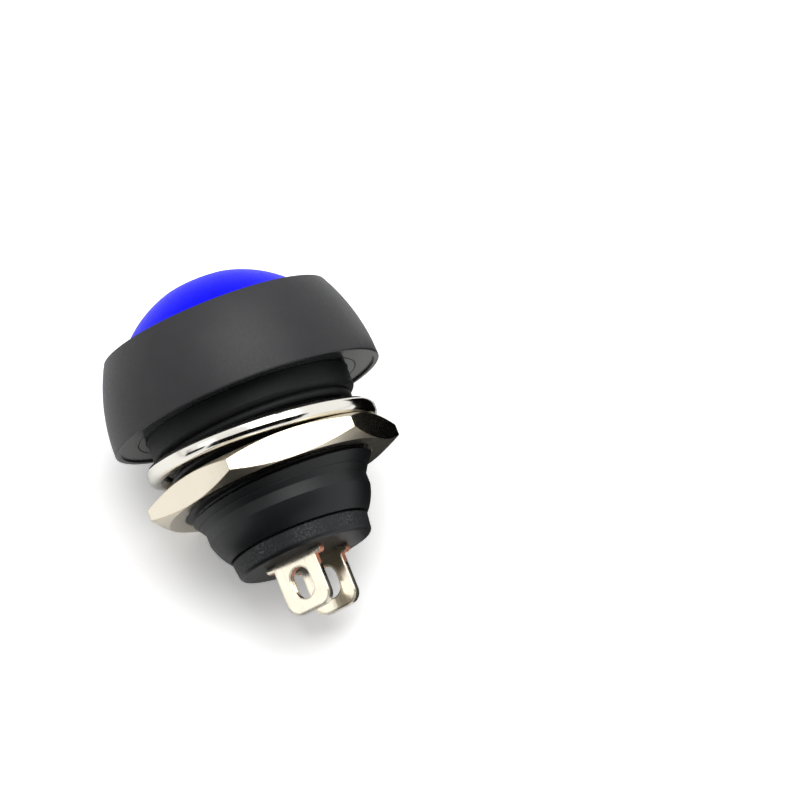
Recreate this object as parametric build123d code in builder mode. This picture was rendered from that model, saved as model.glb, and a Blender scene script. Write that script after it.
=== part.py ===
from build123d import *
from math import asin, cos, pi, radians, sin, sqrt, tan
import os

# Momentary push button switch for a 12 mm panel hole, with two solder terminals.
# Units are millimetres. The origin is on the button's axis in the panel's front face, where the
# bezel's rim seats. +Z points out of the panel, to the finger. The terminals' wide faces look
# along Y. Every piece is given at rest, with the button out and the nut run on loosely.

os.makedirs("parts", exist_ok=True)

# ---- Fits and clearances ----
running_gap = 0.05          # radial gap of a piece that slides in another
loose_gap = 0.10            # radial gap of a piece that is only dropped over another
stop_gap = 0.02             # gap left between two faces that stop each other

# ---- Bezel: the domed ring that covers the housing's head ----
bezel_rim = 1.5             # from the bore that takes the head to the outside, at the rim
bezel_height = 5.5
bezel_lean = 1.36           # how far the side curves in from the rim to the top
bezel_edge_fillet = 0.9
bezel_hole_fillet = 0.15
bezel_rim_fillet = 0.08     # outer edge of the land that meets the panel
bezel_land = 0.35           # width of that flat land round the rim
bezel_relief = 0.1          # how far the flat underside inside the land stays off the panel
bezel_lip = 1.0             # thickness of the lip that holds the cap in
snap_bead = 0.18            # height and half width of the bead that clips the bezel to the head
bead_drop = 1.3             # from the lip to the bead

# ---- Button cap: its radius follows from the head that it slides in ----
cap_gap = 0.12              # radial gap round the cap in the bezel's hole
cap_stand = 0.2             # height of the cap's straight wall above the bezel
dome_rise = 2.7             # from the top of the straight wall to the sphere's crown
facet_radius = 2.3          # flat spot at the crown
facet_fillet = 0.8
cap_edge_fillet = 0.25
cap_travel = 1.6
cap_flange_width = 0.55
cap_flange_height = 0.6
cap_wall = 0.9
boss_radius = 2.6
plunger_tip_radius = 1.2
plunger_tip_length = 2.0
plunger_tip_chamfer = 0.25

# ---- Housing: head, neck, threaded barrel and tail in one moulding ----
thread_radius = 6.0         # crest of the M12 thread; the solid stops at its root
thread_depth = 0.6
neck_undercut = 0.1         # of the neck, below the thread's root
head_wall = 0.55
head_skirt = 0.45           # wall that hangs round the gasket, down to the bezel's underside
head_floor = 0.9            # floor of the head, which the cap's flange meets when pressed
thread_length = 4.15        # threads and their run-out
waist_length = 0.38         # taper from the thread root to the tail
tail_radius = 5.16
tail_straight = 0.73
tail_end_wall = 0.42        # round the plug's spigot at the open end
tail_curve_radius = 3.5     # of the curve that closes in on the plug, in section
tail_length = 2.2           # from the waist to the open end
chamber_gap = 0.28          # from the terminals' feet to the chamber's wall
guide_rise = 1.1            # above the head's floor
guide_drop = 1.8            # below the web
guide_skirt_radius = 2.8    # outside of that lower part
web_thickness = 1.0
plunger_radius = 1.9
seal_section = 1.1          # side of the plunger seal's square section
seal_chamfer = 0.15
retainer_thickness = 0.35
retainer_chamfer = 0.08

# ---- Plunger, contact spring and bridge ----
collar_radius = 2.8
collar_thickness = 0.5
stem_radius = 1.1
stem_end = 0.3              # length of stem below the clip
stem_chamfer = 0.15
wire_sides = 8              # flats round the springs' wire, which is drawn round
contact_spring_height = 2.1
contact_spring_wire = 0.32
contact_spring_radius = 1.6
contact_spring_turns = 3.5
bridge_thickness = 0.4
bridge_width = 2.4
bridge_overhang = 0.7       # from a contact's centre to the bridge's end
clip_thickness = 0.3
clip_gap = 0.17             # from the clip to the moving contacts
clip_groove = 0.2
clip_mouth = 1.54           # width of the clip's open side
clip_hook = 0.2             # how far round the stem's middle the clip's arms reach
rivet_radius = 0.6
rivet_height = 0.35
rivet_shank = 0.3           # radius
upset_radius = 0.45
rivet_upset = 0.12

# ---- Return spring ----
return_spring_wire = 0.4
return_spring_turns = 3.25
return_spring_clearance = 0.25   # round the guide
return_spring_room = 0.4    # from the coil to the wall of the cap's pocket

# ---- Rear plug and terminals ----
plug_collar = 1.1           # height of the part that shows below the housing
plug_inset = 0.08           # of the collar's top, from the housing's end
plug_draft = 0.14           # loss of radius down the collar
plug_fillet = 0.3
spigot_step = 0.2           # step in the housing that the spigot's top meets
spigot_chamfer = 0.25
seam_gap = 0.15             # line between housing and plug
terminal_spacing = 3.5      # between the mid planes of the two blades
terminal_thickness = 0.5
terminal_width = 2.95
terminal_length = 3.45      # blade that stands out of the plug
terminal_neck = 2.4         # width inside the plug
terminal_bend = 0.3         # inner radius of the folded foot
foot_margin = 0.15          # of the foot past the contact's rim
terminal_corner = 0.75
lug_reach = 0.48            # how far each root lug stands out past the blade
lug_height = 0.44
slot_width = 1.3
slot_length = 1.95
slot_drop = 1.7             # from the plug's face to the slot's centre

# ---- Panel gasket ----
gasket_wall = 1.15
gasket_stand = 1.34         # of the thick sleeve, below the bezel's underside
gasket_round = 0.3
bead_wall = 0.8             # of the thin sealing bead below it
bead_height = 0.5
gasket_groove = 0.17        # depth of the groove above the bead, from the bead's outside

# ---- Nut and ring washer ----
nut_across_flats = 14.0
nut_height = 1.68
nut_chamfer_angle = 25.0
nut_back_off = 2.13         # from the gasket's end to the nut's top face, as run on
nut_turn = 37.8             # direction of one corner, from the X axis
washer_gap = 0.28           # round the thread
washer_width = 0.92
washer_height = 1.1
washer_rounding = 0.45      # of both outer edges
washer_inner_chamfer = 0.3
washer_lean = 4.2           # the loose washer leans and meets the nut on its low side
washer_low_side = 42.0      # direction of the low side, from the X axis

# ---- Places worked out from the values above, from the terminals and the thread outwards ----
blade_inner = (terminal_spacing - terminal_thickness) / 2
contact_spread = blade_inner + terminal_thickness + terminal_bend + upset_radius + stop_gap
foot_end = contact_spread + rivet_radius + foot_margin
chamber_radius = foot_end + chamber_gap
spigot_radius = chamber_radius + spigot_step
tail_end_radius = spigot_radius + tail_end_wall
plug_top_radius = tail_end_radius - plug_inset
clip_radius = contact_spread - rivet_radius - clip_gap

root_radius = thread_radius - thread_depth
neck_radius = root_radius - neck_undercut
gasket_radius = neck_radius + gasket_wall
bead_radius = neck_radius + bead_wall
washer_inner_radius = thread_radius + washer_gap
washer_radius = washer_inner_radius + washer_width

recess_radius = gasket_radius + running_gap
head_radius = recess_radius + head_skirt
head_bore = head_radius - head_wall
cap_radius = head_bore - loose_gap - cap_flange_width
bezel_hole = cap_radius + cap_gap
bezel_bore = head_radius + running_gap
bezel_radius = bezel_bore + bezel_rim

pocket_radius = cap_radius - cap_wall
return_spring_radius = pocket_radius - return_spring_room - return_spring_wire / 2
guide_radius = return_spring_radius - return_spring_wire / 2 - return_spring_clearance
guide_bore = plunger_radius + running_gap
gland_radius = guide_bore + seal_section

# ---- Levels, from the bezel's top down ----
lip_bottom = bezel_height - bezel_lip
flange_top = lip_bottom - stop_gap
flange_bottom = flange_top - cap_flange_height
floor_top = flange_bottom - cap_travel - stop_gap
head_bottom = floor_top - head_floor
web_bottom = floor_top - web_thickness
guide_top = floor_top + guide_rise
guide_bottom = web_bottom - guide_drop
gasket_bottom = -gasket_stand
neck_bottom = gasket_bottom - bead_height
thread_bottom = neck_bottom - thread_length
waist_bottom = thread_bottom - waist_length
tail_bottom = waist_bottom - tail_length
plug_face = tail_bottom - seam_gap - plug_collar

gland_bottom = guide_top - retainer_thickness - seal_section
nut_top = gasket_bottom - nut_back_off

collar_top = guide_bottom - running_gap
collar_bottom = collar_top - collar_thickness
bridge_top = collar_bottom - contact_spring_height
bridge_bottom = bridge_top - bridge_thickness
clip_bottom = bridge_bottom - clip_thickness
moving_contact_bottom = bridge_bottom - rivet_height
fixed_contact_top = moving_contact_bottom - cap_travel - stop_gap
foot_top = fixed_contact_top - rivet_height
foot_bottom = foot_top - terminal_thickness

# The dome is a part of a sphere that starts at the top of the cap's short straight wall.
cap_wall_top = bezel_height + cap_stand
dome_radius = (cap_radius**2 + dome_rise**2) / (2 * dome_rise)
dome_centre = cap_wall_top + dome_rise - dome_radius
facet_level = dome_centre + sqrt(dome_radius**2 - facet_radius**2)
pocket_top = dome_centre + sqrt(dome_radius**2 - pocket_radius**2) - cap_wall
boss_bottom = guide_top + cap_travel + 2 * loose_gap


# ---- Bezel ----
shoulder_radius = bezel_radius - bezel_lean
side_arc = (bezel_lean**2 + bezel_height**2) / (2 * bezel_lean)
bead_level = lip_bottom - bead_drop

with BuildPart() as bezel:
    with BuildSketch(Plane.XZ) as bezel_section:
        with BuildLine():
            Polyline(
                (bezel_bore, bezel_relief),
                (bezel_radius - bezel_land, bezel_relief),
                (bezel_radius - bezel_land, 0),
                (bezel_radius, 0),
            )
            RadiusArc((bezel_radius, 0), (shoulder_radius, bezel_height), -side_arc)
            Polyline(
                (shoulder_radius, bezel_height),
                (bezel_hole, bezel_height),
                (bezel_hole, lip_bottom),
                (bezel_bore, lip_bottom),
                (bezel_bore, bezel_relief),
            )
        make_face()
        corners = bezel_section.vertices()
        rim = corners.sort_by_distance((bezel_radius, 0))[0]
        shoulder = corners.sort_by_distance((shoulder_radius, bezel_height))[0]
        hole_corner = corners.sort_by_distance((bezel_hole, bezel_height))[0]
        fillet(rim, bezel_rim_fillet)
        fillet(shoulder, bezel_edge_fillet)
        fillet(hole_corner, bezel_hole_fillet)
    revolve(axis=Axis.Z)
    # bead inside the bore, which clips into the groove of the head
    with BuildSketch(Plane.XZ):
        with Locations((bezel_bore, bead_level)):
            Rectangle(2 * snap_bead, 2 * snap_bead, rotation=45)
    revolve(axis=Axis.Z)

bezel.part.label = "bezel"
export_step(bezel.part, "parts/bezel.step")


# ---- Housing ----
with BuildPart() as housing:
    with BuildSketch(Plane.XZ):
        with BuildLine():
            Polyline(
                (tail_radius, waist_bottom - tail_straight),
                (tail_radius, waist_bottom),
                (root_radius, thread_bottom),
                (root_radius, neck_bottom),
                (neck_radius, neck_bottom),
                (neck_radius, head_bottom),
                (recess_radius, head_bottom),
                (recess_radius, bezel_relief),
                (head_radius, bezel_relief),
                (head_radius, lip_bottom),
                (head_bore, lip_bottom),
                (head_bore, floor_top),
                (guide_radius, floor_top),
                (guide_radius, guide_top),
                (gland_radius, guide_top),
                (gland_radius, gland_bottom),
                (guide_bore, gland_bottom),
                (guide_bore, guide_bottom),
                (guide_skirt_radius, guide_bottom),
                (guide_skirt_radius, web_bottom),
                (chamber_radius, web_bottom),
                (chamber_radius, foot_bottom),
                (spigot_radius, foot_bottom),
                (spigot_radius, tail_bottom),
                (tail_end_radius, tail_bottom),
            )
            # the tail closes in on the plug in one convex curve
            RadiusArc(
                (tail_end_radius, tail_bottom),
                (tail_radius, waist_bottom - tail_straight),
                -tail_curve_radius,
            )
        make_face()
    revolve(axis=Axis.Z)
    # groove round the head for the bezel's bead
    with BuildSketch(Plane.XZ):
        with Locations((bezel_bore, bead_level)):
            Rectangle(2 * (snap_bead + running_gap), 2 * (snap_bead + running_gap), rotation=45)
    revolve(axis=Axis.Z, mode=Mode.SUBTRACT)

housing.part.label = "housing"
export_step(housing.part, "parts/housing.step")


# ---- Button cap ----
flange_radius = cap_radius + cap_flange_width
dome_mid = (asin(facet_radius / dome_radius) + asin(cap_radius / dome_radius)) / 2

with BuildPart() as button_cap:
    with BuildSketch(Plane.XZ) as cap_section:
        with BuildLine():
            Polyline(
                (0, facet_level),
                (0, pocket_top),
                (pocket_radius, pocket_top),
                (pocket_radius, flange_bottom),
                (flange_radius, flange_bottom),
                (flange_radius, flange_top),
                (cap_radius, flange_top),
                (cap_radius, cap_wall_top),
            )
            ThreePointArc(
                (cap_radius, cap_wall_top),
                (dome_radius * sin(dome_mid), dome_centre + dome_radius * cos(dome_mid)),
                (facet_radius, facet_level),
            )
            Line((facet_radius, facet_level), (0, facet_level))
        make_face()
        wall_corner = cap_section.vertices().sort_by_distance((cap_radius, cap_wall_top))[0]
        fillet(wall_corner, cap_edge_fillet)
        facet_corner = cap_section.vertices().sort_by_distance((facet_radius, facet_level))[0]
        fillet(facet_corner, facet_fillet)
    revolve(axis=Axis.Z)
    # socket for the plunger's tip
    with BuildSketch(Plane.XY.offset(boss_bottom)):
        Circle(boss_radius)
    extrude(until=Until.NEXT)
    with BuildSketch(Plane.XY.offset(boss_bottom)):
        Circle(plunger_tip_radius)
    extrude(amount=plunger_tip_length, mode=Mode.SUBTRACT)

button_cap.part.label = "button_cap"
export_step(button_cap.part, "parts/button_cap.step")


# ---- Plunger ----
with BuildPart() as plunger:
    with BuildSketch(Plane.XZ):
        with BuildLine():
            Polyline(
                (0, boss_bottom + plunger_tip_length),
                (plunger_tip_radius, boss_bottom + plunger_tip_length),
                (plunger_tip_radius, boss_bottom),
                (plunger_radius, boss_bottom),
                (plunger_radius, collar_top),
                (collar_radius, collar_top),
                (collar_radius, collar_bottom),
                (stem_radius, collar_bottom),
                (stem_radius, bridge_bottom),
                (stem_radius - clip_groove, bridge_bottom),
                (stem_radius - clip_groove, clip_bottom),
                (stem_radius, clip_bottom),
                (stem_radius, clip_bottom - stem_end),
                (0, clip_bottom - stem_end),
                close=True,
            )
        make_face()
    revolve(axis=Axis.Z)
    chamfer(plunger.edges().group_by(Axis.Z)[-1], plunger_tip_chamfer)
    chamfer(plunger.edges().group_by(Axis.Z)[0], stem_chamfer)

plunger.part.label = "plunger"
export_step(plunger.part, "parts/plunger.step")


# ---- Seal ring round the plunger, and the washer that keeps it in its gland ----
with BuildPart() as plunger_seal:
    with BuildSketch(Plane.XZ) as seal_sketch:
        with Locations((guide_bore + seal_section / 2, gland_bottom + seal_section / 2)):
            Rectangle(seal_section - 2 * stop_gap, seal_section - 2 * stop_gap)
        chamfer(seal_sketch.vertices(), seal_chamfer)
    revolve(axis=Axis.Z)

plunger_seal.part.label = "plunger_seal"
export_step(plunger_seal.part, "parts/plunger_seal.step")

with BuildPart() as seal_retainer:
    with BuildSketch(Plane.XY.offset(guide_top - retainer_thickness)):
        Circle(gland_radius)
        Circle(guide_bore, mode=Mode.SUBTRACT)
    extrude(amount=retainer_thickness)
    chamfer(seal_retainer.edges().group_by(Axis.Z)[-1], retainer_chamfer)

seal_retainer.part.label = "seal_retainer"
export_step(seal_retainer.part, "parts/seal_retainer.step")


# ---- Return spring: a coil with both ends ground flat, round the guide ----
return_spring_height = pocket_top - floor_top
return_spring_pitch = return_spring_height / return_spring_turns

with BuildPart() as return_spring:
    with BuildLine(Plane.XY.offset(floor_top)):
        Helix(return_spring_pitch, return_spring_height, return_spring_radius)
    with BuildSketch(Plane(origin=(return_spring_radius, 0, floor_top), z_dir=(0, 1, 0))):
        RegularPolygon(return_spring_wire / 2, wire_sides)
    sweep(is_frenet=True)
    with BuildSketch(Plane.XY.offset(floor_top)):
        Circle(2 * return_spring_radius)
    extrude(amount=return_spring_height, mode=Mode.INTERSECT)

return_spring.part.label = "return_spring"
export_step(return_spring.part, "parts/return_spring.step")


# ---- Contact spring: pushes the bridge against its clip ----
contact_spring_pitch = contact_spring_height / contact_spring_turns

with BuildPart() as contact_spring:
    with BuildLine(Plane.XY.offset(bridge_top)):
        Helix(contact_spring_pitch, contact_spring_height, contact_spring_radius)
    with BuildSketch(Plane(origin=(contact_spring_radius, 0, bridge_top), z_dir=(0, 1, 0))):
        RegularPolygon(contact_spring_wire / 2, wire_sides)
    sweep(is_frenet=True)
    with BuildSketch(Plane.XY.offset(bridge_top)):
        Circle(2 * contact_spring_radius)
    extrude(amount=contact_spring_height, mode=Mode.INTERSECT)

contact_spring.part.label = "contact_spring"
export_step(contact_spring.part, "parts/contact_spring.step")


# ---- Contact bridge: a copper bar across both contacts, and the clip that holds it ----
with BuildPart() as contact_bridge:
    with BuildSketch(Plane.XY.offset(bridge_bottom)):
        SlotOverall(2 * (contact_spread + bridge_overhang), bridge_width, rotation=90)
        Circle(stem_radius + running_gap, mode=Mode.SUBTRACT)
        with Locations((0, contact_spread), (0, -contact_spread)):
            Circle(rivet_shank, mode=Mode.SUBTRACT)
    extrude(amount=bridge_thickness)

contact_bridge.part.label = "contact_bridge"
export_step(contact_bridge.part, "parts/contact_bridge.step")

with BuildPart() as bridge_clip:
    with BuildSketch(Plane.XY.offset(clip_bottom)):
        Circle(clip_radius)
        Circle(stem_radius - clip_groove, mode=Mode.SUBTRACT)
        # the open side lets the clip spring over the stem
        with Locations((clip_hook, 0)):
            Rectangle(
                clip_radius,
                clip_mouth,
                align=(Align.MIN, Align.CENTER),
                mode=Mode.SUBTRACT,
            )
    extrude(amount=clip_thickness)

bridge_clip.part.label = "bridge_clip"
export_step(bridge_clip.part, "parts/bridge_clip.step")


# ---- Contact rivets: two under the bridge face two on the terminals' feet ----
def contact_rivet(level, up, side, sheet):
    """A domed rivet head on one side of a sheet, its shank through it and the upset end behind."""
    dome_foot = rivet_height / 2
    crown_radius = (rivet_radius**2 + dome_foot**2) / (2 * dome_foot)
    with BuildPart() as rivet:
        with BuildSketch(Plane.XZ):
            with BuildLine():
                Polyline(
                    (0, -sheet - rivet_upset),
                    (upset_radius, -sheet - rivet_upset),
                    (upset_radius, -sheet),
                    (rivet_shank, -sheet),
                    (rivet_shank, 0),
                    (rivet_radius, 0),
                    (rivet_radius, dome_foot),
                )
                RadiusArc((rivet_radius, dome_foot), (0, rivet_height), -crown_radius)
                Line((0, rivet_height), (0, -sheet - rivet_upset))
            make_face()
        revolve(axis=Axis.Z)
    stood = rivet.part if up else rivet.part.rotate(Axis.X, 180)
    return stood.translate((0, side * contact_spread, level))


for side, name in ((-1, "front"), (1, "back")):
    moving_contact = contact_rivet(bridge_bottom, False, side, bridge_thickness)
    moving_contact.label = f"moving_contact_{name}"
    export_step(moving_contact, f"parts/moving_contact_{name}.step")
    fixed_contact = contact_rivet(foot_top, True, side, terminal_thickness)
    fixed_contact.label = f"fixed_contact_{name}"
    export_step(fixed_contact, f"parts/fixed_contact_{name}.step")


# ---- Terminals: flat strips, folded outwards at the top to make the contacts' feet ----
blade_end = plug_face - terminal_length

for side, name in ((-1, "front"), (1, "back")):
    with BuildPart() as terminal:
        # the strip's folded edge, seen along X
        with BuildSketch(Plane.YZ):
            with BuildLine():
                Polyline(
                    (side * blade_inner, blade_end),
                    (side * blade_inner, foot_top),
                    (side * foot_end, foot_top),
                    (side * foot_end, foot_bottom),
                    (side * (blade_inner + terminal_thickness), foot_bottom),
                    (side * (blade_inner + terminal_thickness), blade_end),
                    close=True,
                )
            make_face()
        extrude(amount=terminal_width, both=True)
        bend_edges = terminal.edges().filter_by(Axis.X)
        inner_bend = bend_edges.sort_by_distance(
            (0, side * (blade_inner + terminal_thickness), foot_bottom)
        )[0:1]
        fillet(inner_bend, terminal_bend)
        outer_bend = terminal.edges().filter_by(Axis.X).sort_by_distance(
            (0, side * blade_inner, foot_top)
        )[0:1]
        fillet(outer_bend, terminal_bend + terminal_thickness)
        # the strip's outline, seen along Y: neck, lugs at the root and blade with its slot
        with BuildSketch(Plane.XZ):
            with Locations((0, plug_face)):
                RectangleRounded(terminal_width, 2 * terminal_length, terminal_corner)
                Rectangle(
                    terminal_width,
                    terminal_length,
                    align=(Align.CENTER, Align.MIN),
                    mode=Mode.SUBTRACT,
                )
                Rectangle(terminal_neck, foot_top - plug_face, align=(Align.CENTER, Align.MIN))
            with Locations((0, plug_face - lug_height / 2)):
                SlotOverall(terminal_width + 2 * lug_reach, lug_height)
            with Locations((0, plug_face - slot_drop)):
                SlotOverall(slot_length, slot_width, rotation=90, mode=Mode.SUBTRACT)
        extrude(amount=2 * foot_end, both=True, mode=Mode.INTERSECT)
        with BuildSketch(Plane.XY.offset(foot_top)):
            with Locations((0, side * contact_spread)):
                Circle(rivet_shank)
        extrude(amount=-terminal_thickness, mode=Mode.SUBTRACT)

    terminal.part.label = f"terminal_{name}"
    export_step(terminal.part, f"parts/terminal_{name}.step")


# ---- Rear plug: closes the tail and holds both terminals ----
with BuildPart() as rear_plug:
    with BuildSketch(Plane.XZ):
        with BuildLine():
            Polyline(
                (0, foot_bottom),
                (spigot_radius - spigot_chamfer, foot_bottom),
                (spigot_radius, foot_bottom - spigot_chamfer),
                (spigot_radius, tail_bottom - seam_gap),
                (plug_top_radius, tail_bottom - seam_gap),
                (plug_top_radius - plug_draft, plug_face),
                (0, plug_face),
                close=True,
            )
        make_face()
    revolve(axis=Axis.Z)
    fillet(rear_plug.edges().group_by(Axis.Z)[0], plug_fillet)
    # the strips pass through two straight slots
    with BuildSketch(Plane.XY.offset(plug_face)):
        with Locations((0, terminal_spacing / 2), (0, -terminal_spacing / 2)):
            Rectangle(terminal_neck, terminal_thickness)
    extrude(amount=foot_top - plug_face, mode=Mode.SUBTRACT)
    # room under each foot for its bend and for the riveted end of its contact
    with BuildSketch(Plane.XY.offset(foot_bottom)):
        for side in (-1, 1):
            with Locations((0, side * (blade_inner + terminal_thickness + terminal_bend / 2))):
                Rectangle(terminal_neck, terminal_bend)
    extrude(amount=-terminal_bend, mode=Mode.SUBTRACT)
    with BuildSketch(Plane.XY.offset(foot_bottom)):
        with Locations((0, contact_spread), (0, -contact_spread)):
            Circle(upset_radius)
    extrude(amount=-rivet_upset, mode=Mode.SUBTRACT)

rear_plug.part.label = "rear_plug"
export_step(rear_plug.part, "parts/rear_plug.step")


# ---- Panel gasket: a thick rubber sleeve with a thin sealing bead below it ----
groove_radius = bead_radius - gasket_groove

with BuildPart() as panel_gasket:
    with BuildSketch(Plane.XZ):
        with BuildLine():
            Polyline(
                (neck_radius, head_bottom),
                (gasket_radius, head_bottom),
                (gasket_radius, gasket_bottom + gasket_round),
            )
            RadiusArc(
                (gasket_radius, gasket_bottom + gasket_round),
                (groove_radius, gasket_bottom),
                gasket_radius - groove_radius,
            )
            ThreePointArc(
                (groove_radius, gasket_bottom),
                (bead_radius, gasket_bottom - bead_height / 2),
                (groove_radius, gasket_bottom - bead_height),
            )
            Polyline(
                (groove_radius, gasket_bottom - bead_height),
                (neck_radius, gasket_bottom - bead_height),
                (neck_radius, head_bottom),
            )
        make_face()
    revolve(axis=Axis.Z)

panel_gasket.part.label = "panel_gasket"
export_step(panel_gasket.part, "parts/panel_gasket.step")


# ---- Ring washer: a round-edged ring that leans loosely on the nut ----
washer_middle = (washer_radius + washer_inner_radius) / 2
washer_level = (
    nut_top + stop_gap + washer_height / 2 + washer_middle * sin(radians(washer_lean))
)
washer_plane = Plane(
    origin=(0, 0, washer_level),
    x_dir=(cos(radians(washer_low_side)), sin(radians(washer_low_side)), 0),
    z_dir=(0, 0, 1),
).rotated((0, washer_lean, 0))

with BuildPart() as ring_washer:
    with BuildSketch(
        Plane(washer_plane.origin, washer_plane.x_dir, -washer_plane.y_dir)
    ) as washer_section:
        with Locations((washer_middle, 0)):
            Rectangle(washer_radius - washer_inner_radius, washer_height)
        fillet(washer_section.vertices().group_by(Axis.X)[-1], washer_rounding)
        chamfer(washer_section.vertices().group_by(Axis.X)[0], washer_inner_chamfer)
    revolve(axis=Axis(washer_plane.origin, washer_plane.z_dir))

ring_washer.part.label = "ring_washer"
export_step(ring_washer.part, "parts/ring_washer.step")


# ---- Hex nut: thin, with both faces chamfered at the corners ----
nut_bottom = nut_top - nut_height
corner_radius = nut_across_flats / 2 / cos(pi / 6)
corner_chamfer = (corner_radius - nut_across_flats / 2) * tan(radians(nut_chamfer_angle))

with BuildPart() as hex_nut:
    with BuildSketch(Plane.XY.offset(nut_bottom)):
        RegularPolygon(corner_radius, 6, rotation=nut_turn)
    extrude(amount=nut_height)
    # the turned profile takes the corners down to the flats' own circle
    with BuildSketch(Plane.XZ):
        with BuildLine():
            Polyline(
                (0, nut_top),
                (nut_across_flats / 2, nut_top),
                (corner_radius, nut_top - corner_chamfer),
                (corner_radius, nut_bottom + corner_chamfer),
                (nut_across_flats / 2, nut_bottom),
                (0, nut_bottom),
                close=True,
            )
        make_face()
    revolve(axis=Axis.Z, mode=Mode.INTERSECT)
    with Locations((0, 0, nut_top)):
        Hole(root_radius + running_gap, depth=nut_height)
    bore_edges = hex_nut.edges().filter_by(GeomType.CIRCLE).sort_by(SortBy.RADIUS)[:2]
    chamfer(bore_edges, thread_radius - root_radius - running_gap)

hex_nut.part.label = "hex_nut"
export_step(hex_nut.part, "parts/hex_nut.step")
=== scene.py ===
import bpy
import numpy as np
from math import radians
from mathutils import Matrix, Vector


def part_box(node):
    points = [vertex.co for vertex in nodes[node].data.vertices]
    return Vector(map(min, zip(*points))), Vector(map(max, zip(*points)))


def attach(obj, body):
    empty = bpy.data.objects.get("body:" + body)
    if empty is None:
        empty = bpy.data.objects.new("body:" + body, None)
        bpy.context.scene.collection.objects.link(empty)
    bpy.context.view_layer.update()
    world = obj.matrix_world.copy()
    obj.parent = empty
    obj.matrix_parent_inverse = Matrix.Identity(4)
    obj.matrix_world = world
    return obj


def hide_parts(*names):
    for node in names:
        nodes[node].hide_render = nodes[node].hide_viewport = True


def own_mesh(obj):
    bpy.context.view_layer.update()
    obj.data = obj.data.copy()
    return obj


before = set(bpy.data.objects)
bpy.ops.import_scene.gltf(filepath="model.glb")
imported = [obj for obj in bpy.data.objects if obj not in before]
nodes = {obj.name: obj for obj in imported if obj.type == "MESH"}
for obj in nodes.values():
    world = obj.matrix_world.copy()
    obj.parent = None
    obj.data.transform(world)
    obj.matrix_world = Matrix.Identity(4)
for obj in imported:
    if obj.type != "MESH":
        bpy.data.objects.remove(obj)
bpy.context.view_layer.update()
mm = 0.001
print("frame loaded:", len(nodes), "nodes")


# camera: low beside the terminals, so that the button's axis leans left in the view
camera = {
    "right": (0.819, 0.443, -0.365),    # the view's own axes, in the part's frame
    "down": (-0.412, 0.009, -0.911),
    "distance": 700.0,                  # mm
    "viewWidth": 48.08,                 # mm across the view at the switch
    "originRight": -9.16,               # mm, where the part's origin lies in the view
    "originDown": 0.43,
    "sensorWidth": 36.0,                # mm
    "nearest": 0.05, "farthest": 20.0,  # m
}

viewRight = Vector(camera["right"]).normalized()
viewDown = Vector(camera["down"])
viewDown = (viewDown - viewDown.dot(viewRight) * viewRight).normalized()
viewForward = viewRight.cross(viewDown)

cameraData = bpy.data.cameras.new("productCamera")
cameraData.sensor_width = camera["sensorWidth"]
cameraData.lens = camera["sensorWidth"] * camera["distance"] / camera["viewWidth"]
cameraData.clip_start = camera["nearest"]
cameraData.clip_end = camera["farthest"]
productCamera = bpy.data.objects.new("productCamera", cameraData)
bpy.context.scene.collection.objects.link(productCamera)
cameraPlace = mm * (-camera["originRight"] * viewRight - camera["originDown"] * viewDown
                    - camera["distance"] * viewForward)
cameraTurn = Matrix((viewRight, -viewDown, -viewForward)).transposed()
productCamera.matrix_world = Matrix.Translation(cameraPlace) @ cameraTurn.to_4x4()
bpy.context.scene.camera = productCamera
print("camera placed, lens", round(cameraData.lens), "mm")


# an sRGB hex value as linear red, green, blue, with full alpha
def linearFromHex(hexValue):
    channels = [int(hexValue[i:i + 2], 16) / 255 for i in (1, 3, 5)]
    return tuple(c / 12.92 if c <= 0.04045 else ((c + 0.055) / 1.055) ** 2.4
                 for c in channels) + (1.0,)


# adds one node: settings are its properties, inputs gives each socket a value or a link
def addNode(owner, kind, settings=None, inputs=None):
    node = owner.node_tree.nodes.new("ShaderNode" + kind)
    for name, value in (settings or {}).items():
        setattr(node, name, value)
    for name, value in (inputs or {}).items():
        if isinstance(value, bpy.types.NodeSocket):
            owner.node_tree.links.new(value, node.inputs[name])
        else:
            node.inputs[name].default_value = value
    return node


def newFinish(name):
    finish = bpy.data.materials.new(name)
    finish.use_nodes = True
    finish.node_tree.nodes.clear()
    return finish


noiseLow, noiseHigh = 0.3, 0.7      # nearly all of a noise pattern lies between these


# a moulded plastic or rubber: cloudy dye, a moulded grain that dents it, and softened edges
def makeMoulded(s):
    finish = newFinish(s["name"])
    place = addNode(finish, "TexCoord").outputs["Object"]
    cloud = addNode(finish, "TexNoise", None, {
        "Vector": place, "Scale": 1 / (s["cloud"] * mm), "Detail": 2.0})
    grain = addNode(finish, "TexNoise", None, {
        "Vector": place, "Scale": 1 / (s["grain"] * mm), "Detail": 4.0, "Roughness": 0.65})
    dye = addNode(finish, "Mix", {"data_type": "RGBA"}, {
        0: cloud.outputs[0], 6: linearFromHex(s["dark"]), 7: linearFromHex(s["light"])})
    gloss = addNode(finish, "MapRange", None, {
        "Value": grain.outputs[0], "From Min": noiseLow, "From Max": noiseHigh,
        "To Min": s["roughness"][0], "To Max": s["roughness"][1]})
    edge = addNode(finish, "Bevel", None, {"Radius": s["edge"] * mm})
    dent = addNode(finish, "Bump", None, {
        "Height": grain.outputs[0], "Distance": s["depth"] * mm, "Normal": edge.outputs[0]})
    shader = addNode(finish, "BsdfPrincipled", None, {
        "Base Color": dye.outputs[2], "Roughness": gloss.outputs[0], "IOR": s["ior"],
        "Specular IOR Level": s["specular"], "Normal": dent.outputs[0]})
    for socket, value in s.get("more", {}).items():
        shader.inputs[socket].default_value = value
    addNode(finish, "OutputMaterial", None, {"Surface": shader.outputs[0]})
    return finish


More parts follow.
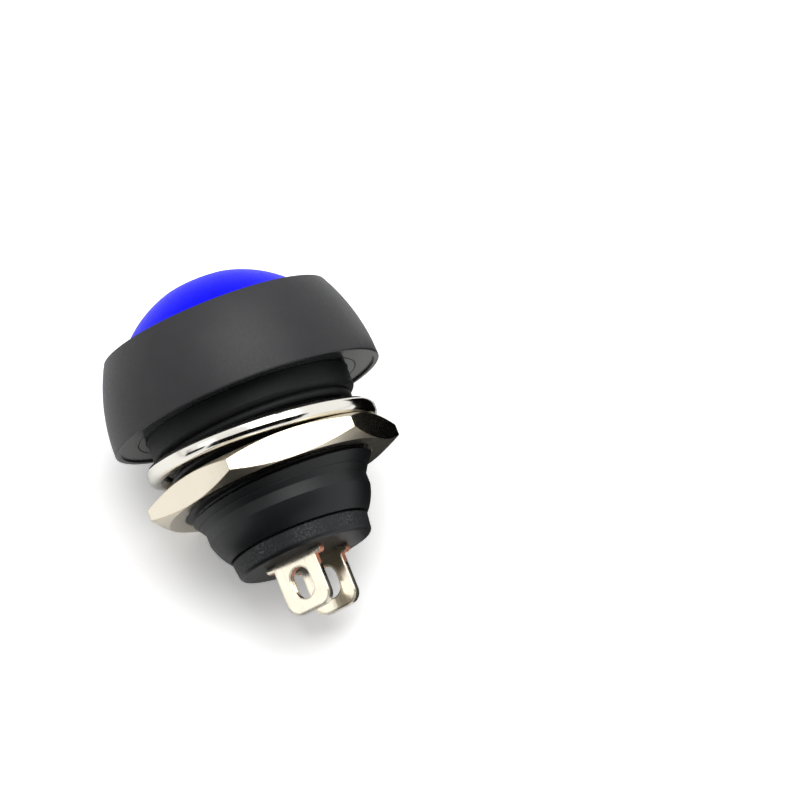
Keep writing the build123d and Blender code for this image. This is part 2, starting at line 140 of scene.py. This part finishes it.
# black plastic of the head and housing: the mould leaves a grain on the sides, but the flat
# undersides round the gasket are smooth, and mirror what lies under them at a low angle
def makeHeadPlastic(s):
    finish = newFinish(s["name"])
    coordinates = addNode(finish, "TexCoord")
    place = coordinates.outputs["Object"]
    facing = addNode(finish, "SeparateXYZ", None, {0: coordinates.outputs["Normal"]}).outputs["Z"]
    down = addNode(finish, "MapRange", None, {
        "Value": facing, "From Min": s["underFacing"][0], "From Max": s["underFacing"][1]})
    height = addNode(finish, "SeparateXYZ", None, {0: place}).outputs["Z"]
    inHead = addNode(finish, "Math", {"operation": "GREATER_THAN"}, {
        0: height, 1: s["headFrom"] * mm})
    under = addNode(finish, "Math", {"operation": "MULTIPLY"}, {
        0: down.outputs[0], 1: inHead.outputs[0]})
    cloud = addNode(finish, "TexNoise", None, {
        "Vector": place, "Scale": 1 / (s["cloud"] * mm), "Detail": 2.0})
    grain = addNode(finish, "TexNoise", None, {
        "Vector": place, "Scale": 1 / (s["grain"] * mm), "Detail": 4.0, "Roughness": 0.65})
    dye = addNode(finish, "Mix", {"data_type": "RGBA"}, {
        0: cloud.outputs[0], 6: linearFromHex(s["dark"]), 7: linearFromHex(s["light"])})
    sideGloss = addNode(finish, "MapRange", None, {
        "Value": grain.outputs[0], "From Min": noiseLow, "From Max": noiseHigh,
        "To Min": s["roughness"][0], "To Max": s["roughness"][1]})
    gloss = addNode(finish, "Mix", None, {
        0: under.outputs[0], 2: sideGloss.outputs[0], 3: s["underRoughness"]})
    dentSize = addNode(finish, "MapRange", None, {
        "Value": under.outputs[0], "To Min": 1.0, "To Max": s["underDent"]})
    edge = addNode(finish, "Bevel", None, {"Radius": s["edge"] * mm})
    dent = addNode(finish, "Bump", None, {
        "Height": grain.outputs[0], "Distance": s["depth"] * mm,
        "Strength": dentSize.outputs[0], "Normal": edge.outputs[0]})
    shader = addNode(finish, "BsdfPrincipled", None, {
        "Base Color": dye.outputs[2], "Roughness": gloss.outputs[0], "IOR": s["ior"],
        "Specular IOR Level": s["specular"], "Normal": dent.outputs[0]})
    addNode(finish, "OutputMaterial", None, {"Surface": shader.outputs[0]})
    return finish


# ABS from a spark-eroded mould: matte, with a fine even grain.
# The real grain is about 0.03 mm, and is drawn at 0.12 mm so that it shows.
erodedAbs = makeHeadPlastic({
    "name": "erodedBlackAbs", "light": "#2f2f31", "dark": "#252527",
    "roughness": (0.4, 0.55), "underRoughness": 0.2, "ior": 1.53, "specular": 0.3,
    "underFacing": (-0.6, -0.9), "underDent": 0.1,      # the normal's Z, and the grain left there
    "headFrom": -1.0, "cloud": 1.6, "grain": 0.12, "depth": 0.006, "edge": 0.12,    # mm
})

# glass-filled PBT: a smooth satin black that shows soft bands of the room
satinPbt = makeHeadPlastic({
    "name": "satinBlackPbt", "light": "#111416", "dark": "#0d1012",
    "roughness": (0.42, 0.5), "underRoughness": 0.2, "ior": 1.57, "specular": 0.34,
    "underFacing": (-0.6, -0.9), "underDent": 0.1,
    "headFrom": -1.0, "cloud": 1.1, "grain": 0.09, "depth": 0.0008, "edge": 0.05,   # mm
})

# ABS dyed right through, from a polished mould: deep even blue under a soft gloss
satinBlueAbs = makeMoulded({
    "name": "satinBlueAbs", "light": "#0c0cff", "dark": "#0a0af4",
    "roughness": (0.36, 0.44), "ior": 1.53, "specular": 0.07,
    "cloud": 2.4, "grain": 0.25, "depth": 0.0008, "edge": 0.05,     # mm
    "more": {"Specular Tint": linearFromHex("#5050ff")},
})

# nitrile rubber: black, with almost no gloss
nitrile = makeMoulded({
    "name": "nitrileRubber", "light": "#1d1f1f", "dark": "#161818",
    "roughness": (0.5, 0.65), "ior": 1.52, "specular": 0.25,
    "cloud": 1.3, "grain": 0.12, "depth": 0.002, "edge": 0.08,      # mm
})

# natural nylon: milky white and a little waxy
naturalNylon = makeMoulded({
    "name": "naturalNylon", "light": "#e8e5da", "dark": "#dcd9cc",
    "roughness": (0.3, 0.4), "ior": 1.53, "specular": 0.5,
    "cloud": 1.2, "grain": 0.2, "depth": 0.001, "edge": 0.04,       # mm
})


# pressed phenolic: a smooth bottom, but a side where the pale filler shows as coarse specks
def makePhenolic(s):
    finish = newFinish("pressedPhenolic")
    place = addNode(finish, "TexCoord").outputs["Object"]
    height = addNode(finish, "SeparateXYZ", None, {0: place}).outputs["Z"]
    onSide = addNode(finish, "MapRange", {"interpolation_type": "SMOOTHSTEP"}, {
        "Value": height, "From Min": s["bottom"] * mm, "From Max": (s["bottom"] + s["fade"]) * mm})
    specks = addNode(finish, "TexNoise", None, {
        "Vector": place, "Scale": 1 / (s["speck"] * mm), "Detail": 3.0, "Roughness": 0.7})
    patches = addNode(finish, "TexNoise", None, {
        "Vector": place, "Scale": 1 / (s["patch"] * mm), "Detail": 1.0})
    speckled = addNode(finish, "MapRange", None, {
        "Value": specks.outputs[0], "From Min": s["speckShown"][0],
        "From Max": s["speckShown"][1]})
    patchy = addNode(finish, "MapRange", None, {
        "Value": patches.outputs[0], "From Min": s["patchShown"][0],
        "From Max": s["patchShown"][1]})
    shown = addNode(finish, "Math", {"operation": "MULTIPLY"}, {
        0: speckled.outputs[0], 1: patchy.outputs[0]})
    shownOnSide = addNode(finish, "Math", {"operation": "MULTIPLY"}, {
        0: shown.outputs[0], 1: onSide.outputs[0]})
    colour = addNode(finish, "Mix", {"data_type": "RGBA"}, {
        0: shownOnSide.outputs[0], 6: linearFromHex(s["resin"]), 7: linearFromHex(s["filler"])})
    gloss = addNode(finish, "MapRange", None, {
        "Value": onSide.outputs[0], "To Min": s["roughness"][0], "To Max": s["roughness"][1]})
    deep = addNode(finish, "MapRange", None, {
        "Value": onSide.outputs[0], "To Min": s["bottomDent"], "To Max": 1.0})
    edge = addNode(finish, "Bevel", None, {"Radius": s["edge"] * mm})
    pits = addNode(finish, "Bump", None, {
        "Height": specks.outputs[0], "Distance": s["depth"] * mm, "Strength": deep.outputs[0],
        "Normal": edge.outputs[0]})
    shader = addNode(finish, "BsdfPrincipled", None, {
        "Base Color": colour.outputs[2], "Roughness": gloss.outputs[0], "IOR": s["ior"],
        "Specular IOR Level": s["specular"], "Normal": pits.outputs[0]})
    addNode(finish, "OutputMaterial", None, {"Surface": shader.outputs[0]})
    return finish


phenolic = makePhenolic({
    "bottom": -9.75, "fade": 0.3,       # mm, where the bottom face ends and the side begins
    "speck": 0.16, "patch": 3.0,        # mm, drawn coarser than the real filler
    "speckShown": (0.48, 0.7), "patchShown": (0.4, 0.7),    # parts of the noise that show
    "resin": "#17181a", "filler": "#55575a", "ior": 1.6, "specular": 0.3,
    "roughness": (0.4, 0.6),            # on the bottom and on the side
    "depth": 0.02, "edge": 0.05, "bottomDent": 0.15,        # mm, and the pits' share left below
})


# a plated metal with scratches and lines in one direction
def makePlated(s):
    finish = newFinish(s["name"])
    place = addNode(finish, "TexCoord").outputs["Object"]
    cloud = addNode(finish, "TexNoise", None, {
        "Vector": place, "Scale": 1 / (s["cloud"] * mm), "Detail": 2.0})
    along = addNode(finish, "Mapping", None, {"Vector": place, "Scale": s["stretch"]})
    lines = addNode(finish, "TexNoise", None, {
        "Vector": along.outputs[0], "Scale": 1 / (s["line"] * mm), "Detail": 3.0,
        "Roughness": 0.6})
    tint = addNode(finish, "Mix", {"data_type": "RGBA"}, {
        0: cloud.outputs[0], 6: linearFromHex(s["dark"]), 7: linearFromHex(s["light"])})
    gloss = addNode(finish, "MapRange", None, {
        "Value": lines.outputs[0], "From Min": noiseLow, "From Max": noiseHigh,
        "To Min": s["roughness"][0], "To Max": s["roughness"][1]})
    edge = addNode(finish, "Bevel", None, {"Radius": s["edge"] * mm})
    dent = addNode(finish, "Bump", None, {
        "Height": lines.outputs[0], "Distance": s["depth"] * mm, "Normal": edge.outputs[0]})
    shader = addNode(finish, "BsdfPrincipled", None, {
        "Base Color": tint.outputs[2], "Metallic": 1.0, "Roughness": gloss.outputs[0],
        "Normal": dent.outputs[0]})
    addNode(finish, "OutputMaterial", None, {"Surface": shader.outputs[0]})
    return finish


# bright nickel on a tumbled ring: nearly a mirror, with a few soft waves
brightNickel = makePlated({
    "name": "brightNickel", "light": "#f4f1ea", "dark": "#e9e6dc",
    "roughness": (0.09, 0.16), "stretch": (1, 1, 1),
    "cloud": 1.5, "line": 0.5, "depth": 0.0006, "edge": 0.05,       # mm
})

# bare spring steel, drawn and oiled
springWire = makePlated({
    "name": "springWire", "light": "#c8c6c0", "dark": "#a8a6a0",
    "roughness": (0.22, 0.35), "stretch": (1, 1, 1),
    "cloud": 0.8, "line": 0.05, "depth": 0.001, "edge": 0.03,       # mm
})

# rolled copper strip: fine lines along the bridge
rolledCopper = makePlated({
    "name": "rolledCopper", "light": "#d88f6a", "dark": "#c07850",
    "roughness": (0.25, 0.38), "stretch": (1, 0.08, 1),
    "cloud": 1.2, "line": 0.08, "depth": 0.0012, "edge": 0.03,      # mm
})

# fine silver: soft and white, dulled where the contacts meet
silverFace = makePlated({
    "name": "fineSilver", "light": "#f0eee8", "dark": "#d4d2ca",
    "roughness": (0.2, 0.34), "stretch": (1, 1, 1),
    "cloud": 0.4, "line": 0.08, "depth": 0.001, "edge": 0.03,       # mm
})


# nickel over a nut cut from bar: drawn lines along the axis on its flats, and turned rings
# on its faces and chamfers
def makeNutNickel(s):
    finish = newFinish("barNickel")
    coordinates = addNode(finish, "TexCoord")
    place = coordinates.outputs["Object"]
    steep = addNode(finish, "Math", {"operation": "ABSOLUTE"}, {
        0: addNode(finish, "SeparateXYZ", None, {0: coordinates.outputs["Normal"]}).outputs["Z"]})
    turned = addNode(finish, "MapRange", None, {
        "Value": steep.outputs[0], "From Min": s["offFlat"][0], "From Max": s["offFlat"][1]})
    upright = addNode(finish, "Mapping", None, {"Vector": place, "Scale": s["drawnStretch"]})
    drawn = addNode(finish, "TexNoise", None, {
        "Vector": upright.outputs[0], "Scale": 1 / (s["drawnLine"] * mm), "Detail": 4.0,
        "Roughness": 0.7})
    level = addNode(finish, "VectorMath", {"operation": "MULTIPLY"}, {0: place, 1: (1, 1, 0)})
    fromAxis = addNode(finish, "VectorMath", {"operation": "LENGTH"}, {0: level.outputs[0]})
    rings = addNode(finish, "TexNoise", {"noise_dimensions": "1D"}, {
        "W": fromAxis.outputs["Value"], "Scale": 1 / (s["turnedRing"] * mm), "Detail": 3.0,
        "Roughness": 0.7})
    lines = addNode(finish, "Mix", None, {
        0: turned.outputs[0], 2: drawn.outputs[0], 3: rings.outputs[0]})
    offFace = addNode(finish, "MapRange", None, {
        "Value": steep.outputs[0], "From Min": s["offFace"][0], "From Max": s["offFace"][1]})
    onChamfer = addNode(finish, "Math", {"operation": "MULTIPLY"}, {
        0: turned.outputs[0], 1: offFace.outputs[0]})
    cloud = addNode(finish, "TexNoise", None, {
        "Vector": place, "Scale": 1 / (s["cloud"] * mm)})
    plate = addNode(finish, "Mix", {"data_type": "RGBA"}, {
        0: cloud.outputs[0], 6: linearFromHex(s["dark"]), 7: linearFromHex(s["light"])})
    edge = addNode(finish, "Bevel", None, {"Radius": s["edge"] * mm})
    bend = addNode(finish, "VectorMath", {"operation": "DOT_PRODUCT"}, {
        0: edge.outputs[0], 1: addNode(finish, "NewGeometry").outputs["Normal"]})
    worn = addNode(finish, "MapRange", None, {
        "Value": bend.outputs["Value"], "From Min": s["bend"][0], "From Max": s["bend"][1],
        "To Max": s["wear"]})
    tint = addNode(finish, "Mix", {"data_type": "RGBA"}, {
        0: worn.outputs[0], 6: plate.outputs[2], 7: linearFromHex(s["brass"])})
    gloss = addNode(finish, "MapRange", None, {
        "Value": lines.outputs[0], "From Min": noiseLow, "From Max": noiseHigh,
        "To Min": s["roughness"][0], "To Max": s["roughness"][1]})
    rough = addNode(finish, "Math", {"operation": "MULTIPLY_ADD"}, {
        0: onChamfer.outputs[0], 1: s["chamferRoughness"], 2: gloss.outputs[0]})
    deep = addNode(finish, "MapRange", None, {
        "Value": onChamfer.outputs[0], "To Min": s["flatDent"], "To Max": 1.0})
    dent = addNode(finish, "Bump", None, {
        "Height": lines.outputs[0], "Distance": s["depth"] * mm, "Strength": deep.outputs[0],
        "Normal": edge.outputs[0]})
    shader = addNode(finish, "BsdfPrincipled", None, {
        "Base Color": tint.outputs[2], "Metallic": 1.0, "Roughness": rough.outputs[0],
        "Normal": dent.outputs[0]})
    addNode(finish, "OutputMaterial", None, {"Surface": shader.outputs[0]})
    return finish


barNickel = makeNutNickel({
    "light": "#f3ebdb", "dark": "#e9dfca",
    "brass": "#a88c50",                 # shows through where the nickel is thin, at the corners
    "bend": (0.995, 0.93), "wear": 0.8,     # how far a corner turns the normal, and its brass
    "offFlat": (0.1, 0.3), "offFace": (0.98, 0.93),         # the normal's Z on either side
    "drawnStretch": (1, 1, 0.05), "roughness": (0.12, 0.24), "chamferRoughness": 0.15,
    "drawnLine": 0.09, "turnedRing": 0.07, "cloud": 1.8, "depth": 0.006, "edge": 0.09,    # mm
    "flatDent": 0.5,                    # share of that depth off the chamfers
})


# nickel over rolled strip: the shears leave the copper underneath bare on the cut edges,
# most of all near the root
def makeStripNickel(s):
    finish = newFinish("stripNickel")
    coordinates = addNode(finish, "TexCoord")
    place = coordinates.outputs["Object"]
    facing = addNode(finish, "Math", {"operation": "ABSOLUTE"}, {
        0: addNode(finish, "SeparateXYZ", None, {0: coordinates.outputs["Normal"]}).outputs["Y"]})
    onEdge = addNode(finish, "MapRange", None, {
        "Value": facing.outputs[0], "From Min": s["offFace"][0], "From Max": s["offFace"][1]})
    height = addNode(finish, "SeparateXYZ", None, {0: place}).outputs["Z"]
    nearRoot = addNode(finish, "MapRange", None, {
        "Value": height, "From Min": s["bareTo"] * mm, "From Max": s["bareFrom"] * mm})
    torn = addNode(finish, "TexNoise", None, {
        "Vector": place, "Scale": 1 / (s["torn"] * mm), "Detail": 3.0, "Roughness": 0.7})
    bareness = addNode(finish, "Math", {"operation": "ADD"}, {
        0: nearRoot.outputs[0], 1: torn.outputs[0]})
    bareEnough = addNode(finish, "MapRange", None, {
        "Value": bareness.outputs[0], "From Min": s["bareness"][0],
        "From Max": s["bareness"][1]})
    bare = addNode(finish, "Math", {"operation": "MULTIPLY"}, {
        0: bareEnough.outputs[0], 1: onEdge.outputs[0]})
    along = addNode(finish, "Mapping", None, {"Vector": place, "Scale": s["stretch"]})
    rolled = addNode(finish, "TexNoise", None, {
        "Vector": along.outputs[0], "Scale": 1 / (s["line"] * mm), "Detail": 3.0,
        "Roughness": 0.6})
    cloud = addNode(finish, "TexNoise", None, {
        "Vector": place, "Scale": 1 / (s["cloud"] * mm)})
    plate = addNode(finish, "Mix", {"data_type": "RGBA"}, {
        0: cloud.outputs[0], 6: linearFromHex(s["dark"]), 7: linearFromHex(s["light"])})
    tint = addNode(finish, "Mix", {"data_type": "RGBA"}, {
        0: bare.outputs[0], 6: plate.outputs[2], 7: linearFromHex(s["copper"])})
    gloss = addNode(finish, "MapRange", None, {
        "Value": rolled.outputs[0], "From Min": noiseLow, "From Max": noiseHigh,
        "To Min": s["roughness"][0], "To Max": s["roughness"][1]})
    rough = addNode(finish, "Mix", None, {
        0: bare.outputs[0], 2: gloss.outputs[0], 3: s["tornRoughness"]})
    edge = addNode(finish, "Bevel", None, {"Radius": s["dieRoll"] * mm})
    dent = addNode(finish, "Bump", None, {
        "Height": rolled.outputs[0], "Distance": s["depth"] * mm, "Normal": edge.outputs[0]})
    shader = addNode(finish, "BsdfPrincipled", None, {
        "Base Color": tint.outputs[2], "Metallic": 1.0, "Roughness": rough.outputs[0],
        "Normal": dent.outputs[0]})
    addNode(finish, "OutputMaterial", None, {"Surface": shader.outputs[0]})
    return finish


stripNickel = makeStripNickel({
    "light": "#f2ecdc", "dark": "#e6dcc6", "copper": "#f0ac8c",
    "roughness": (0.1, 0.2), "tornRoughness": 0.6,
    "offFace": (0.85, 0.5),                 # the normal's Y, from the strip's faces to its edges
    "bareFrom": -10.0, "bareTo": -11.3,     # mm, heights between which the bare edge ends
    "bareness": (0.72, 0.95),
    "stretch": (1, 1, 0.1), "dieRoll": 0.2,
    "torn": 0.5, "line": 0.12, "cloud": 1.1, "depth": 0.002,        # mm
})

for nodeName, finish in {
    "bezel": erodedAbs, "button_cap": satinBlueAbs, "housing": satinPbt, "rear_plug": phenolic,
    "panel_gasket": nitrile, "plunger_seal": nitrile, "plunger": naturalNylon,
    "seal_retainer": naturalNylon, "ring_washer": brightNickel, "hex_nut": barNickel,
    "terminal_front": stripNickel, "terminal_back": stripNickel, "return_spring": springWire,
    "contact_spring": springWire, "bridge_clip": springWire, "contact_bridge": rolledCopper,
    "moving_contact_front": silverFace, "moving_contact_back": silverFace,
    "fixed_contact_front": silverFace, "fixed_contact_back": silverFace,
}.items():
    mesh = nodes[nodeName].data
    mesh.materials.clear()
    mesh.materials.append(finish)
print("finishes put on the CAD nodes")


# the barrel's thread: right-handed M12 x 1, coned off at the end where the nut starts
barrelThread = {
    "pitch": 1.0, "crestRadius": 6.0, "rootRadius": 5.42, "innerRadius": 5.25,
    "top": -1.86, "bottom": -5.95,
    "coneTop": -5.2, "coneRate": 0.76,          # mm of radius lost for each mm below coneTop
    "crestShare": 0.2, "rootShare": 0.12,       # flat parts of the pitch
    "columns": 220, "rows": 170, "sharpAngle": 25,
}


# radius = root + depth * ramp of the helix's phase at that angle and height, under the end's
# cone; each column then runs back up inside the barrel, so the skin is closed
def threadPoints(s):
    angle = np.linspace(0, 2 * np.pi, s["columns"], endpoint=False)[:, None]
    height = np.linspace(s["top"], s["bottom"], s["rows"])[None, :] + 0 * angle
    phase = np.mod(height / s["pitch"] - angle / (2 * np.pi), 1.0)
    offCrest = np.abs(phase - 0.5) * 2
    slope = 1 - s["rootShare"] - s["crestShare"]
    ramp = np.clip((1 - s["rootShare"] - offCrest) / slope, 0, 1)
    radius = s["rootRadius"] + (s["crestRadius"] - s["rootRadius"]) * ramp
    cone = s["crestRadius"] - s["coneRate"] * np.maximum(s["coneTop"] - height, 0)
    radius = np.minimum(radius, cone)
    within = np.full((s["columns"], 2), s["innerRadius"])
    radius = np.concatenate([radius, within], axis=1)
    height = np.concatenate([height, within * 0 + [s["bottom"], s["top"]]], axis=1)
    return np.stack([radius * np.cos(angle), radius * np.sin(angle), height], axis=-1) * mm


# a four-sided face from each point of a grid to the next row and column. The columns close on
# themselves, and so do the rows, unless one face caps each end of them.
def closedGrid(name, points, sharpAngle, capped=False):
    columns, rows = points.shape[:2]
    here = np.arange(columns * rows).reshape(columns, rows)
    beside = np.roll(here, -1, axis=0)
    quads = np.stack([here, np.roll(here, -1, axis=1), np.roll(beside, -1, axis=1), beside],
                     axis=-1)
    faces = quads[:, :-1 if capped else rows].reshape(-1, 4).tolist()
    if capped:
        faces += [here[:, 0].tolist(), here[::-1, -1].tolist()]
    mesh = bpy.data.meshes.new(name)
    mesh.from_pydata(points.reshape(-1, 3).tolist(), [], faces)
    mesh.polygons.foreach_set("use_smooth", np.ones(len(mesh.polygons), bool))
    mesh.set_sharp_from_angle(angle=radians(sharpAngle))
    piece = bpy.data.objects.new(name, mesh)
    bpy.context.scene.collection.objects.link(piece)
    return piece


thread = closedGrid("barrel_thread", threadPoints(barrelThread), barrelThread["sharpAngle"])
thread.data.materials.append(satinPbt)
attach(thread, "switch")
print("thread made")


# the return spring, drawn as a coil of its own in place of the hidden CAD coil. Nothing here
# shortens it as the button goes down. The CAD coil is rigid, so it would pass through a pressed
# cap.
returnSpring = {
    "wire": 0.4, "buttonTravel": 1.6,           # mm
    "turns": 3.25, "around": 14, "along": 240, "sharpAngle": 40,
}


# place = point of a right-handed helix + the wire's radius * (cosine outwards + sine along the
# slope's upright), with the height kept between bottom and top, as the ends are ground flat
def coilPoints(s, outerRadius, bottom, top):
    along = np.linspace(0, 1, s["along"])[None, :]
    around = np.linspace(0, 2 * np.pi, s["around"], endpoint=False)[:, None]
    radius = outerRadius - s["wire"] / 2
    angle = 2 * np.pi * s["turns"] * along
    rise = np.arctan2(top - bottom, 2 * np.pi * s["turns"] * radius)
    out = radius + s["wire"] / 2 * np.cos(around)
    up = s["wire"] / 2 * np.sin(around)
    x = out * np.cos(angle) + up * np.sin(rise) * np.sin(angle)
    y = out * np.sin(angle) - up * np.sin(rise) * np.cos(angle)
    z = np.clip(bottom + (top - bottom) * along + up * np.cos(rise), bottom, top)
    return np.stack([x, y, z], axis=-1) * mm


springLow, springHigh = (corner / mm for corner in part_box("return_spring"))
coil = closedGrid("return_spring_coil",
                  coilPoints(returnSpring, springHigh.x, springLow.z, springHigh.z),
                  returnSpring["sharpAngle"], capped=True)
coil.data.materials.append(springWire)
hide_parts("return_spring")
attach(coil, "switch")
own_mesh(coil)
print("return spring made")


# floor: white paper that the switch lies on, with its bezel's rim and its nut touching it
floorPaper = {
    "normal": (0.583, -0.751, 0.309), "drop": 8.1, "size": 1200.0,    # mm
    "colour": 0.956, "seenColour": 1.235, "glow": 0.156,    # clear to white off the shadow
}

floorNormal = Vector(floorPaper["normal"]).normalized()
floorAcross = floorNormal.orthogonal().normalized()
floorAlong = floorNormal.cross(floorAcross)
halfFloor = floorPaper["size"] / 2
floorMesh = bpy.data.meshes.new("floor")
floorMesh.from_pydata(
    [mm * (-floorPaper["drop"] * floorNormal + halfFloor * (i * floorAcross + j * floorAlong))
     for i, j in ((-1, -1), (1, -1), (1, 1), (-1, 1))], [], [(0, 1, 2, 3)])
floor = bpy.data.objects.new("floor", floorMesh)
bpy.context.scene.collection.objects.link(floor)

# white paper from above, clear from below, so a view from under it isn't blocked
paper = newFinish("whitePaper")
rays = addNode(paper, "LightPath")
glow = addNode(paper, "Math", {"operation": "MULTIPLY"}, {
    0: rays.outputs["Is Camera Ray"], 1: floorPaper["glow"]})
shade = addNode(paper, "MapRange", {"clamp": False}, {
    "Value": rays.outputs["Is Camera Ray"], "To Min": floorPaper["colour"],
    "To Max": floorPaper["seenColour"]})
paperFace = addNode(paper, "AddShader", None, {
    0: addNode(paper, "BsdfDiffuse", None, {"Color": shade.outputs[0]}).outputs[0],
    1: addNode(paper, "Emission", None, {"Strength": glow.outputs[0]}).outputs[0]})
paperSides = addNode(paper, "MixShader", None, {
    0: addNode(paper, "NewGeometry").outputs["Backfacing"], 1: paperFace.outputs[0],
    2: addNode(paper, "BsdfTransparent").outputs[0]})
addNode(paper, "OutputMaterial", None, {"Surface": paperSides.outputs[0]})
floorMesh.materials.append(paper)

# room: white wherever it is seen or mirrored, and an even fill for the rest
world = bpy.data.worlds.new("whiteRoom")
bpy.context.scene.world = world
world.use_nodes = True
world.node_tree.nodes.clear()
roomFill = 0.5                      # strength of the fill, where 1 is white
rays = addNode(world, "LightPath")
seen = addNode(world, "Math", {"operation": "MAXIMUM"}, {
    0: rays.outputs["Is Camera Ray"], 1: rays.outputs["Is Glossy Ray"]})
seen = addNode(world, "Math", {"operation": "MAXIMUM"}, {
    0: seen.outputs[0], 1: rays.outputs["Is Transmission Ray"]})
level = addNode(world, "MapRange", None, {
    "Value": seen.outputs[0], "To Min": roomFill, "To Max": 1.0})
sky = addNode(world, "Background", None, {"Color": (1, 1, 1, 1), "Strength": level.outputs[0]})
addNode(world, "OutputWorld", None, {"Surface": sky.outputs[0]})


# a direction given as right, up and back towards the camera, in the part's frame
def viewDirection(right, up, back):
    return (right * viewRight - up * viewDown - back * viewForward).normalized()


# soft square lamps that look at the switch: towards is right, up and back, sizes are in mm and
# power in watts. Only the bare metal shows the glint.
lamps = {
    "topLamp": {"towards": (0.05, 0.68, 0.73), "distance": 320, "size": 300, "power": 0.85,
                "lightsAll": True},
    "glintLamp": {"towards": (-0.8, 0.0, 0.6), "distance": 350, "size": 120, "power": 0.016,
                  "lightsAll": False},
}
for name, s in lamps.items():
    lampData = bpy.data.lights.new(name, "AREA")
    lampData.size = s["size"] * mm
    lampData.energy = s["power"]
    lamp = bpy.data.objects.new(name, lampData)
    bpy.context.scene.collection.objects.link(lamp)
    away = viewDirection(*s["towards"])
    lamp.matrix_world = (Matrix.Translation(away * s["distance"] * mm)
                         @ away.to_track_quat("Z", "Y").to_matrix().to_4x4())
    lamp.visible_diffuse = s["lightsAll"]

# black and grey cards that only reflections see, which paint dark reflections into the metal
# and the smooth plastic: darkRoom paints the dark side of a room, frontFlag the floor in shade
# below the switch, rightFlag a dark body on the right and its shade, and the grey cards by the
# floor paint the floor's shadow. Each is a corner and its two edges, as right, up and back
# towards the camera, in mm, and its colour.
flags = {
    "darkRoom": ((-150, -2, 150), (320, 90, 0), (0, -190, 0), "#0d0c0a"),
    "leftFlag": ((-12, -8, 8), (0, 4.5, 0), (0, 0, 6), "#0d0c0a"),
    "frontFlag": ((-5.5, -13.5, 1), (11.5, 0, 0), (0, 0, 13), "#0d0c0a"),
    "rightFlag": ((11.2, -7, -9), (0, 13, 0), (0, 0, 11.5), "#0d0c0a"),
    # painted floor shadow: grey cards that the nut's and bezel's undersides mirror in place of the
    # floor in shade
    "deepFloorShadow": ((7.5, -14, -1), (12, 0, 0), (0, 12, -7.5), "#454543"),
    "lightFloorShadow": ((6, -2, -8.5), (10, 0, 0), (0, 4, -2.5), "#c0c0be"),
}
for name, (corner, firstEdge, secondEdge, colour) in flags.items():
    points = [np.array(corner) + i * np.array(firstEdge) + j * np.array(secondEdge)
              for i, j in ((0, 0), (1, 0), (1, 1), (0, 1))]
    flagMesh = bpy.data.meshes.new(name)
    flagMesh.from_pydata([mm * (float(r) * viewRight - float(u) * viewDown - float(b) * viewForward)
                          for r, u, b in points], [], [(0, 1, 2, 3)])
    flag = bpy.data.objects.new(name, flagMesh)
    bpy.context.scene.collection.objects.link(flag)
    # hidden from the camera, from diffuse light and from shadows, so each card shows only as a
    # painted reflection
    flag.visible_camera = flag.visible_diffuse = flag.visible_shadow = False
    flag.visible_transmission = flag.visible_volume_scatter = False
    # a plain colour for the card, seen only as a painted reflection
    cardReflectionFinish = newFinish(name + "PaintedReflection")
    face = addNode(cardReflectionFinish, "BsdfDiffuse", None, {"Color": linearFromHex(colour)})
    addNode(cardReflectionFinish, "OutputMaterial", None, {"Surface": face.outputs[0]})
    flagMesh.materials.append(cardReflectionFinish)
print("studio lit")

bpy.context.scene.view_settings.view_transform = "Standard"
